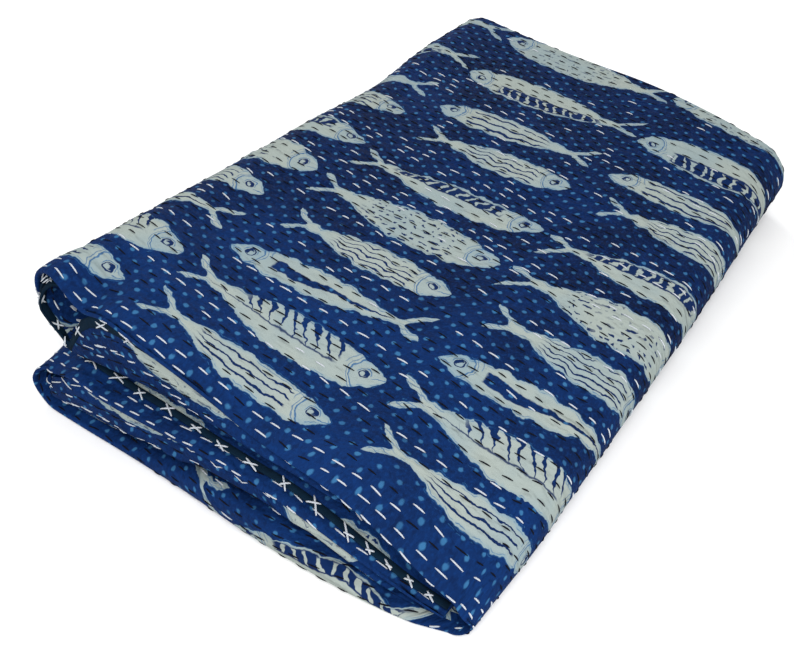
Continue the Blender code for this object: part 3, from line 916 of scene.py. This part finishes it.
def print_cloth():
    """Indigo cotton with the print, its weave and the puckers between the stitch rows."""
    material, tree, inputs = fabric("indigo cotton print", 0.88)
    colour, along, woven, large, fine = fish_print(tree)

    # Hems: a dark band along both ends of the cloth.
    banded = Value(stored(tree, "from_hem", "Fac")).rise(HEM_BAND + 0.0004, HEM_BAND - 0.0004)
    put(banded.blend(colour, fine.blend(DARK_TEAL, TEAL)), inputs["Base Color"])

    # Relief: soft ridges between stitch rows, small crumples, and the weave.
    row = (along - row_wander(woven, along)) / STITCH_ROWS
    ridge = (row * (2 * np.pi)).cosine() * -0.5
    quilting = noise(vector(woven * 0.55, along), 130.0, 2.0, 0.5)
    crumple = noise(vector(woven * 0.35, along), 42.0, 3.0, 0.55)
    warp = (woven * WEAVE).sine() * (along * WEAVE).sine()
    height = ridge * 0.00080 * quilting.rise(0.30, 0.65) + quilting * 0.0028 + crumple * 0.0050
    height = height + warp * 0.00004 + fine * 0.00008
    relief(height, 1.0, inputs)
    put(large * 0.10 + fine * 0.08 + 0.78, inputs["Roughness"])
    return material


def add_cloth_places(thing):
    """Stores each point's place on the flat cloth on the mesh, and how far the hems are."""
    across, along = np.broadcast_arrays(ACROSS, ALONG)
    # The print runs a little wide at the back and a little askew to the right.
    stretch = 1.0 + 0.086 * smooth(along, 0.36, 0.54) * fall(along, 0.60, 0.75)
    printed = 0.2 + (across - 0.2) / stretch
    askew = 0.0
    for across_from, across_to, along_from, along_to, shift in ASKEW_TABLE:
        askew = askew + (shift / 1000 * between(across, across_from, across_to, SOFT_ACROSS)
                         * between(along, along_from, along_to, SOFT_ALONG))
    values = np.stack([printed, along - askew, across], -1).astype(np.float32)
    store = thing.data.attributes.new("cloth", "FLOAT_VECTOR", "POINT")
    store.data.foreach_set("vector", values.reshape(-1))
    from_hem = np.minimum((along - along[:1]) / band_share(False),
                          (along[-1:] - along) / band_share(True))
    from_hem = from_hem + 0.02 * smooth(PATH, TOP_HEM_ENDS, TOP_HEM_ENDS + 0.4)
    store = thing.data.attributes.new("from_hem", "FLOAT", "POINT")
    store.data.foreach_set("value", from_hem.astype(np.float32).reshape(-1))


def cloth_spots(across, along):
    """Where places on the flat cloth lie on the folded one, and the cloth's normals there.

    A place beyond a hem lies straight on from it."""
    column = np.interp(across, ACROSS, np.arange(len(ACROSS)))
    first = np.clip(column.astype(int), 0, len(ACROSS) - 2)
    share = column - first
    places, normals = np.zeros((len(across), 3)), np.zeros((len(across), 3))
    for c in np.unique(first):
        here = first == c
        for offset, weight in ((0, 1.0 - share[here]), (1, share[here])):
            passed = ALONG[:, c + offset]
            row = np.interp(along[here], passed, np.arange(len(passed)))
            low = np.clip(row.astype(int), 0, len(passed) - 2)
            step = passed[low + 1] - passed[low]
            t = (along[here] - passed[low]) / step
            t = np.where((row <= 0) | (row >= len(passed) - 1), t, row - low)
            ends = POINTS[low, c + offset], POINTS[low + 1, c + offset]
            places[here] += weight[:, None] * (ends[0] + (ends[1] - ends[0]) * t[:, None])
            near = np.clip(t, 0, 1)[:, None]
            normal = NORMALS[low, c + offset] * (1 - near) + NORMALS[low + 1, c + offset] * near
            normals[here] += weight[:, None] * normal
    return places, normals / np.maximum(np.linalg.norm(normals, axis=1, keepdims=True), 1e-9)


def band_share(at_end):
    """How much of the hem band's width shows along one of the cloth's hems."""
    if at_end:
        return np.maximum(smooth(PATH, 0.55, 0.85), 0.02)
    return 0.55 + 0.45 * smooth(PATH, 0.80, 1.00)


def hem_places(at_end):
    """Where the cloth ends along each column, and which way along leads out of it."""
    return (ALONG[-1], 1.0) if at_end else (ALONG[0], -1.0)


def stitch_mesh(name, stitches, material, sides, stations):
    """Short flattened threads that dip into the cloth at both ends, joined.

    A stitch: across, along, its angle, length and thickness, which side, how far it is raised."""
    across, along, angle, length, thickness, side, raised = (
        np.array(stitches, float).T[..., None])
    t = np.linspace(-0.5, 0.5, stations)
    across = across + np.cos(angle) * length * t
    along = along + np.sin(angle) * length * t
    places, normals = cloth_spots(across.reshape(-1), along.reshape(-1))
    places = places.reshape(len(stitches), stations, 3)
    normals = normals.reshape(places.shape) * side[..., None]
    radius = thickness / 2 * (1.0 - 0.35 * (2 * abs(t)) ** 4)
    lift = raised + thickness * 0.15 - STITCH_DIP * (2 * abs(t)) ** 6
    centres = places + normals * lift[..., None]
    tangent = np.gradient(centres, axis=1)
    tangent /= np.linalg.norm(tangent, axis=-1, keepdims=True)
    aside = np.cross(tangent, normals)
    aside /= np.linalg.norm(aside, axis=-1, keepdims=True)
    up = np.cross(aside, tangent)
    turn = 2 * np.pi * (np.arange(sides) + 0.5) / sides
    cosine, sine = np.cos(turn)[:, None], np.sin(turn)[:, None]
    rings = (centres[:, :, None] + radius[..., None, None]
             * (aside[:, :, None] * cosine + up[:, :, None] * STITCH_FLATNESS * sine))
    index = numbered(rings)
    caps = np.concatenate([index[:, 0, ::-1], index[:, -1]])
    return add_mesh(name, rings, tube_quads(index, 2).tolist() + caps.tolist(), material)


# How much of the thread between the fishes is white, from the front of the top to its back.
WHITE = by_name(("along", "share"), (
    (-0.06, 0.90),
    (0.10, 0.85),
    (0.20, 0.62),
    (0.33, 0.60),
    (0.37, 0.45),
    (0.43, 0.35),
    (0.48, 0.05),
    (0.54, 0.05),
    (0.60, 0.30),
))


def stitch_row(rng, along_at, pale_share, kept, side, white, dark):
    """One running row. pale_share: how much of it is white. kept: how much of it shows."""
    across = ACROSS[0] + 0.006 + STITCH_PITCH * rng.random()
    while across < ACROSS[-1] - 0.008:
        spot = float(along_at(across)) + rng.normal(0, 0.0004)
        slope = 0.04 * np.cos(33.0 * across + 7.0 * spot) + rng.normal(0, 0.07)
        length = rng.normal(STITCH_LENGTH, 0.0009)
        row = (across, spot, slope, length, STITCH_THICKNESS, side, 0.0001)
        if rng.random() < kept:
            (white if rng.random() < pale_share else dark).append(row)
        across += STITCH_PITCH * rng.uniform(0.84, 1.16)


def running_stitches(rng):
    """The rows over the outer layer, and those by the two hems."""
    white, dark = [], []
    fishes = by_name(PRINT_COLUMNS, PRINT_TABLE)
    for k in range(-6, 68):
        along = k * STITCH_ROWS
        # How far the nearest fish's middle is. Few stitches show on the striped ones.
        off = along - fishes["middle"] / 1000 + REPEAT_ALONG / 2
        off = abs(off % REPEAT_ALONG - REPEAT_ALONG / 2)
        nearest = int(np.argmin(off))
        gap_share = float(np.interp(along, WHITE["along"], WHITE["share"]))
        pale_share = gap_share if off[nearest] > ON_FISH else FEW
        kept = 0.35 if fishes["stripes"][nearest] and off[nearest] < ON_STRIPES else MOST
        stitch_row(rng, lambda across: along + row_wander(across, along), pale_share, kept, 1.0,
                   white, dark)
    for at_end in (False, True):
        ends, out = hem_places(at_end)
        for k in range(3 if at_end else 2):
            inward = HEM_BAND + 0.005 + k * STITCH_ROWS
            for side in (-1.0, 1.0):
                stitch_row(rng, lambda across: np.interp(across, ACROSS, ends) - out * inward,
                           0.90 if k == 1 else FEW, MOST, side, white, dark)
    return white, dark


def cross_stitches(rng):
    """Crosses along both hems of the upper bundle, and a zigzag along one of the lower's."""
    found = []
    # Near the corner they are small and close. The shelf has them on the side that shows.
    crowded_to, bare_to, shelved_to = np.interp((0.22, 0.75, 0.95), PATH, ACROSS)
    shelf_side = float(np.sign(NORMALS[2, STEPS[BAND_2] // 2, 2]))
    for at_end in (False, True):
        ends, out = hem_places(at_end)
        across = ACROSS[0] + 0.012
        while at_end and across < bare_to:
            across += 0.02
        while across < ACROSS[TOP_MIDDLE]:
            end = float(np.interp(across, ACROSS, ends))
            crowd = 0.65 if across < crowded_to else 1.0
            shelved = not at_end and across < shelved_to
            for side in (shelf_side,) if shelved else (-1.0, 1.0):
                inward = rng.uniform(0.0045, 0.0065) if at_end else rng.uniform(0.0, 0.002)
                middle = end - out * inward
                length = CROSS_LENGTH * crowd * rng.uniform(0.8, 1.15)
                found.append((across, middle, rng.normal(0.50, 0.16), length, CROSS_THICKNESS,
                              side, 0.0009))
                found.append((across + rng.normal(0, 0.0014), middle, rng.normal(-0.60, 0.18),
                              length * rng.uniform(0.65, 1.0), CROSS_THICKNESS, side, 0.0011))
            across += CROSS_PITCH * crowd * rng.uniform(0.9, 1.1)
    # The lower bundle's turned-up hem is oversewn in a zigzag.
    ends, _ = hem_places(True)
    across, last = np.interp((4.4, 5.5), PATH, ACROSS)
    sign = 1.0
    while across < last:
        step = ZIGZAG_STEP * rng.uniform(0.85, 1.15)
        middle = float(np.interp(across, ACROSS, ends)) - 0.0040
        angle = sign * rng.normal(0.34, 0.06)
        found.append((across, middle, angle, step * 1.12, ZIGZAG_THICKNESS, -1.0, 0.0003))
        across, sign = across + step, -sign
    return found


def thread(name, colour, other):
    """Cotton sewing thread with a twist."""
    material, tree, inputs = fabric(name, 0.8)
    wave = tree.nodes.new("ShaderNodeTexWave")
    wave.inputs["Scale"].default_value = 900.0
    wave.inputs["Distortion"].default_value = 2.0
    put(solid_place(tree), wave.inputs["Vector"])
    twist = Value(wave.outputs["Fac"])
    put(twist.blend(colour, other), inputs["Base Color"])
    relief(twist, 0.0002, inputs)
    return material


def hem_cloth():
    """The hem band's dark cotton, mottled and woven."""
    material, tree, inputs = fabric("dark hem cotton", 0.95)
    spot = solid_place(tree)
    cloudy, threads = noise(spot, 160.0, dimensions="3D"), noise(spot, 1400.0, dimensions="3D")
    put(cloudy.blend(DARK_TEAL, TEAL), inputs["Base Color"])
    relief(cloudy + threads * 0.3, 0.0008, inputs)
    return material


# Cross-section of a hem: how far in from the cloth's end, and how far out from its middle, in
# millimetres, from one side round the edge to the other.
HEM_SECTION = ((9.2, 0.0), (8.8, 0.8), (4.5, 1.0), (0.6, 0.95), (-0.3, 0.5), (-0.5, 0.0),
               (-0.3, -0.5), (0.6, -0.95), (4.5, -1.0), (8.8, -0.8))


def hem_mesh(name, at_end, material):
    """The doubled edge of the cloth, along the upper bundle's part of one hem."""
    ends, out = hem_places(at_end)
    part = PATH < TOP_HEM_ENDS
    rings = []
    for inward, aside in HEM_SECTION:
        inward = inward * band_share(at_end)
        places, normals = cloth_spots(ACROSS[part], (ends - out * inward / 1000)[part])
        rings.append(places + normals * aside / 1000)
    rings = np.array(rings)
    index = numbered(rings)
    quads = tube_quads(index, 0)[:, ::-1 if at_end else 1]
    caps = [index[:, 0].tolist(), index[::-1, -1].tolist()]
    return add_mesh(name, rings, quads.tolist() + caps, material)


def dress():
    """The cloth and all that is sewn on it."""
    index = numbered(POINTS)
    quads = np.stack([index[:-1, :-1], index[:-1, 1:], index[1:, 1:], index[1:, :-1]], -1)
    cloth = add_mesh("quilt_cloth", POINTS, quads.reshape(-1, 4).tolist(), print_cloth())
    add_cloth_places(cloth)
    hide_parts("quilt")

    rng = np.random.default_rng(4)
    white, dark = running_stitches(rng)
    white_thread = thread("white thread", WHITE_THREAD, linear(176, 180, 190))
    dark_thread = thread("dark thread", DARK_THREAD, linear(26, 28, 40))
    hem = hem_cloth()
    sewn = [
        stitch_mesh("quilt_white_stitches", white, white_thread, 6, 5),
        stitch_mesh("quilt_dark_stitches", dark, dark_thread, 5, 4),
        stitch_mesh("quilt_hem_crosses", cross_stitches(rng), white_thread, 6, 7),
        hem_mesh("quilt_hem_a", False, hem),
        hem_mesh("quilt_hem_b", True, hem),
    ]
    for piece in [cloth, *sewn]:
        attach(piece, "root")


# ---------------------------------------------------------------------------------------------
# Floor, light and camera.
def floor():
    """A wide pale floor."""
    material, tree, inputs = fabric("pale floor", 0.9)
    grain = noise(solid_place(tree), 9.0, 3.0, 0.6)
    put(grain.blend((0.84, 0.84, 0.84, 1), (0.88, 0.88, 0.88, 1)), inputs["Base Color"])
    bpy.ops.mesh.primitive_plane_add(size=14.0, location=(0, 3.0, 0))
    ground = bpy.context.object
    ground.name = "floor"
    ground.data.materials.append(material)


def soft_light(name, where, size, power):
    """A round lamp that faces the quilt."""
    light = bpy.data.lights.new(name, "AREA")
    light.shape, light.size, light.energy = "DISK", size, power
    lamp = add_object(name, light)
    lamp.location = where
    direction = -np.array(where)
    yaw = np.arctan2(direction[0], -direction[1])
    pitch = np.arctan2(np.hypot(direction[0], direction[1]), -direction[2])
    lamp.rotation_euler = (pitch, 0, yaw + np.pi)


def fitted_camera():
    """The photograph's viewpoint, fitted to the quilt's corners and edges."""
    focal_px, width_px, sensor = 951.26, 794, 36.0
    pitch, azimuth, roll = np.radians((40.3666, 35.1412, -0.3009))
    where = np.array([0.519982, -0.287980, 0.513762]) + ORIGIN
    forward = np.array([-np.sin(azimuth) * np.cos(pitch), np.cos(azimuth) * np.cos(pitch),
                        -np.sin(pitch)])
    right = np.cross(forward, (0, 0, 1))
    right /= np.linalg.norm(right)
    up = np.cross(right, forward)
    right, up = right * np.cos(roll) + up * np.sin(roll), up * np.cos(roll) - right * np.sin(roll)
    lens = bpy.data.cameras.new("camera")
    lens.sensor_width = sensor
    lens.lens = focal_px * sensor / width_px
    eye = add_object("camera", lens)
    matrix = np.eye(4)
    matrix[:3] = np.stack([right, up, -forward, where], -1)
    eye.matrix_world = matrix.T.tolist()
    bpy.context.scene.camera = eye


def surroundings():
    """Even white light from all around."""
    world = bpy.data.worlds.new("studio")
    world.use_nodes = True
    back = world.node_tree.nodes["Background"]
    back.inputs["Color"].default_value = (1, 1, 1, 1)
    back.inputs["Strength"].default_value = 0.95
    bpy.context.scene.world = world
    bpy.context.scene.view_settings.view_transform = "Standard"


dress()
floor()
soft_light("key", (0.55, -0.75, 0.95), 0.7, 12.0)
soft_light("fill", (-1.1, 1.3, 0.75), 0.6, 12.0)
fitted_camera()
surroundings()
